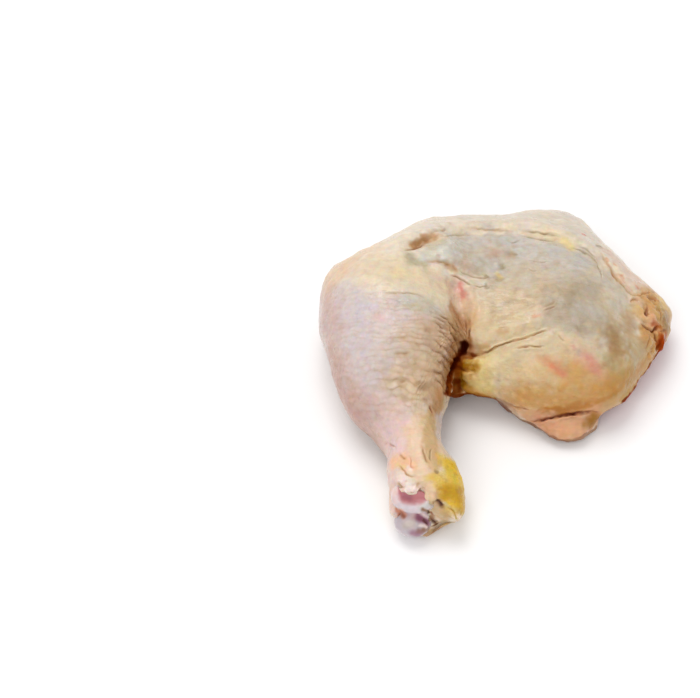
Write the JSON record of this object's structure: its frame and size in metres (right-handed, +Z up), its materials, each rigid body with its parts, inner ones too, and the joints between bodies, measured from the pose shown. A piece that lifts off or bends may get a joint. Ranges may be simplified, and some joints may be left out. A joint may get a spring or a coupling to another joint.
{
  "type": "raw chicken leg quarter",
  "caption": "Raw chicken leg quarter with its skin on: broad folded thigh, bent drumstick, flap of loose skin, ragged fat at the hip end and a cut hock that shows the knuckle.",
  "frame": {"origin": "on the table, under the middle of the leg's bounding box", "axes": "+X from the knee to the hip end, +Y from the cut hock to the back of the thigh, +Z up from the table"},
  "size_m": [0.1458, 0.1594, 0.0479],
  "materials": {
    "raw_skin": "moist, slightly see-through raw skin over meat, cream with lilac-grey, pink and yellow fields",
    "joint_cartilage": "wet, smooth, bluish-white cartilage with a rose-pink hollow"
  },
  "bodies": {
    "root": {"leg_quarter": "raw_skin", "shin_bone": "joint_cartilage"}
  },
  "joints": []
}
